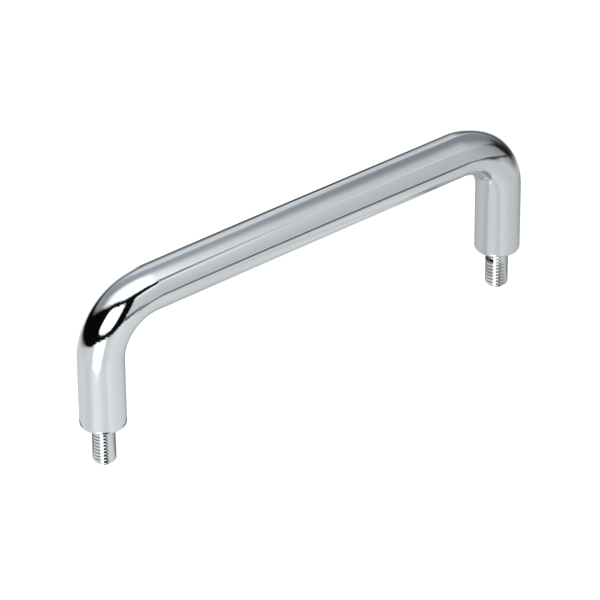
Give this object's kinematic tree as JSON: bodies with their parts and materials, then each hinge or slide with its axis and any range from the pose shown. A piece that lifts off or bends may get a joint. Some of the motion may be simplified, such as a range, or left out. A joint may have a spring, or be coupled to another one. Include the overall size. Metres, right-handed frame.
{
  "type": "bridge pull handle",
  "caption": "Polished round-bar bridge pull handle, bent to a wide U from one rod, with a threaded stud turned on each end for mounting through a panel.",
  "frame": {"origin": "midway between the two studs, on the mounting plane where both feet seat", "axes": "+X along the bar from stud to stud, +Y across the bar, +Z away from the panel; the studs point along -Z"},
  "size_m": [0.14, 0.012, 0.052],
  "materials": {
    "plating": "polished bright plating over steel bar, slightly rippled at the bends"
  },
  "bodies": {
    "root": {"handle": "plating"}
  },
  "joints": []
}
